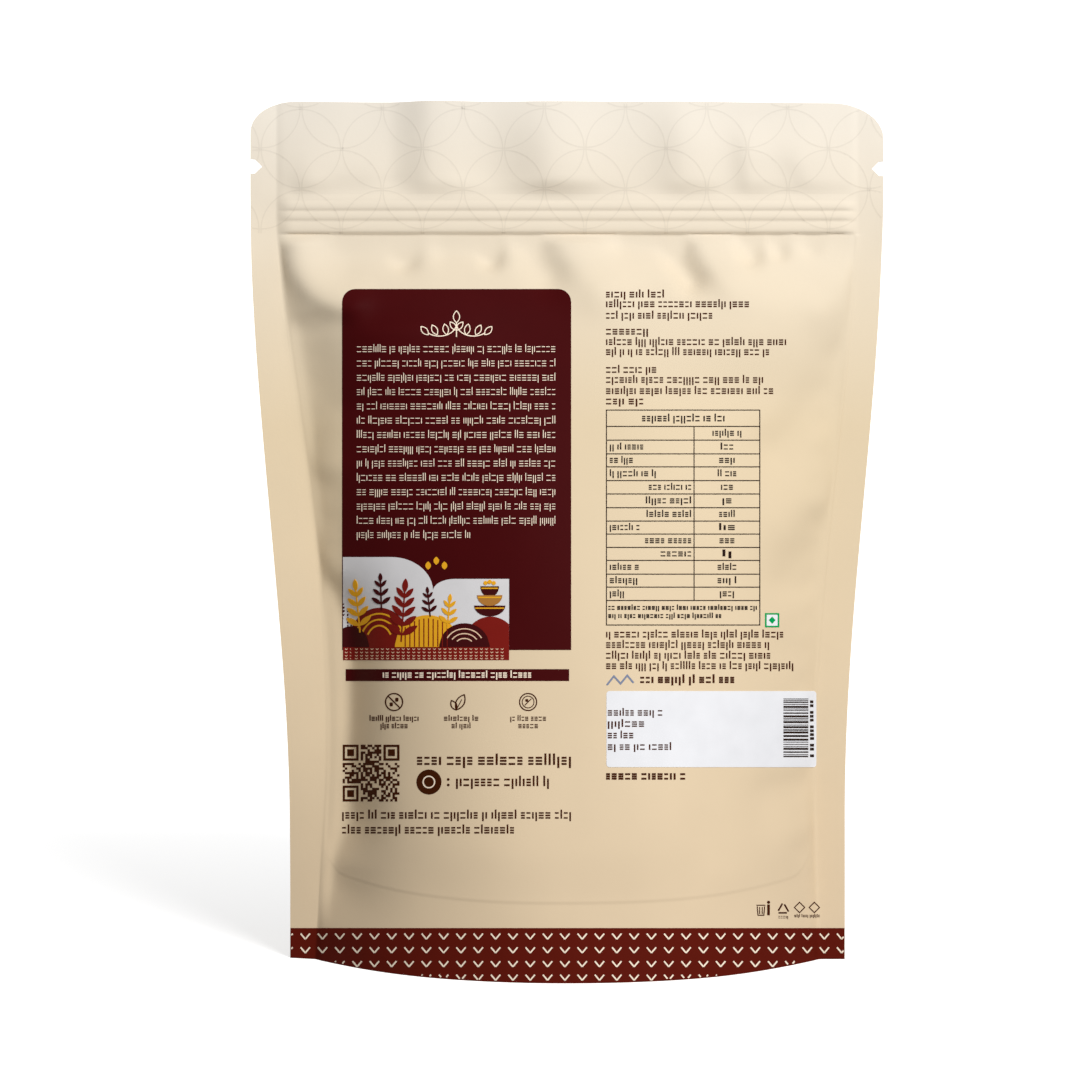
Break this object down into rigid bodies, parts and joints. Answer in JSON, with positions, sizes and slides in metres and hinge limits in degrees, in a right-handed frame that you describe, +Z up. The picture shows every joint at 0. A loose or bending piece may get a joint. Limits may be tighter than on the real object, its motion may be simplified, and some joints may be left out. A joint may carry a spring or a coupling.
{
  "type": "filled stand-up zip pouch",
  "caption": "Shut stand-up pouch of dry goods: flat side seals and header with tear notches, a press-to-close zip, a plump body and a folded bottom on a skirt.",
  "frame": {"origin": "on the floor under the middle of the pouch, which is the centre of the bounding box's bottom", "axes": "+Z up, towards the header's top edge; the front with the label faces -Y; +X to the right as seen from the front"},
  "size_m": [0.1704, 0.075, 0.231],
  "materials": {
    "film": "satin matte printed film",
    "print_dark": "matte ink on film",
    "print_light": "matte ink on film",
    "label": "smooth matte label"
  },
  "bodies": {
    "root": {"pouch": "film"}
  },
  "joints": []
}
